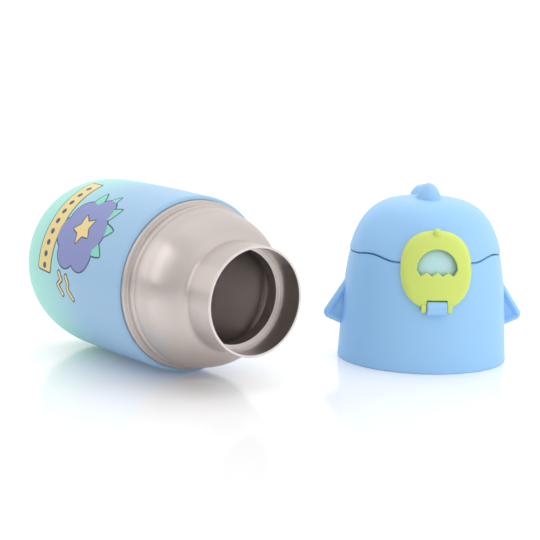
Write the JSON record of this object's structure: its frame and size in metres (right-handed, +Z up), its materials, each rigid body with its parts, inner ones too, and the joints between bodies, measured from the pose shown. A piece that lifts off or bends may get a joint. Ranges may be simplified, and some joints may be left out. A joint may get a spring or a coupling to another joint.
{
  "type": "kids water bottle",
  "caption": "Insulated steel drinking bottle with a printed shell, lying on its side, and its domed flip lid with side fins, button and lock latch.",
  "frame": {"origin": "on the resting surface, under the middle of the bottle and lid together", "axes": "+X along the lying bottle's axis towards its mouth, +Y from the bottle to the lid, +Z up"},
  "size_m": [0.1722, 0.2145, 0.0919],
  "materials": {
    "printed_shell": "soft-touch moulded polypropylene with a printed pattern",
    "brushed_steel": "brushed around the axis",
    "copper_foil": "thin bright foil",
    "spring_wire": "drawn stainless wire",
    "silicone": "moulded translucent silicone",
    "blue_plastic": "satin moulded polypropylene",
    "white_plastic": "smooth moulded polypropylene",
    "lime_plastic": "satin moulded polypropylene",
    "teal_plastic": "translucent moulded polypropylene"
  },
  "bodies": {
    "bottle": {"body_shell": "printed_shell", "steel_wall": "brushed_steel", "inner_liner": "brushed_steel", "liner_base": "brushed_steel", "base_plate": "brushed_steel", "vacuum_getter": "spring_wire", "reflective_foil": "copper_foil", "base_cover": "printed_shell", "base_pad": "silicone"},
    "lid": {"lid_collar": "blue_plastic", "inner_plug": "white_plastic", "neck_seal": "silicone", "drinking_spout": "white_plastic", "vent_valve": "silicone", "fin_left": "blue_plastic", "fin_right": "blue_plastic", "hinge_pin": "spring_wire", "cap_spring": "spring_wire", "latch_pin": "spring_wire", "button_spring": "spring_wire"},
    "cap": {"flip_cap": "blue_plastic", "cap_liner": "white_plastic", "spout_stopper": "silicone", "crest": "blue_plastic"},
    "latch": {"latch": "lime_plastic"},
    "button": {"push_button": "teal_plastic", "button_hook": "white_plastic"}
  },
  "joints": [
    {"name": "lid_lift", "type": "slide", "parent": "bottle", "child": "lid", "axis": [0, 0, 1], "range_m": [0, 0.1]},
    {"name": "cap_open", "type": "hinge", "parent": "lid", "child": "cap", "pos_m": [0.00757, 0.08516, 0.0561], "axis": [-0.5329, -0.8462, 0], "range_deg": [0, 115]},
    {"name": "latch_open", "type": "hinge", "parent": "lid", "child": "latch", "pos_m": [0.07902, 0.04016, 0.0337], "axis": [0.5329, 0.8462, 0], "range_deg": [0, 130]},
    {"name": "button_press", "type": "slide", "parent": "lid", "child": "button", "axis": [-0.8462, 0.5329, 0], "range_m": [0, 0.002], "stiffness_N_per_m": 800, "springref_m": -0.002, "deforming": ["button_spring"]}
  ]
}
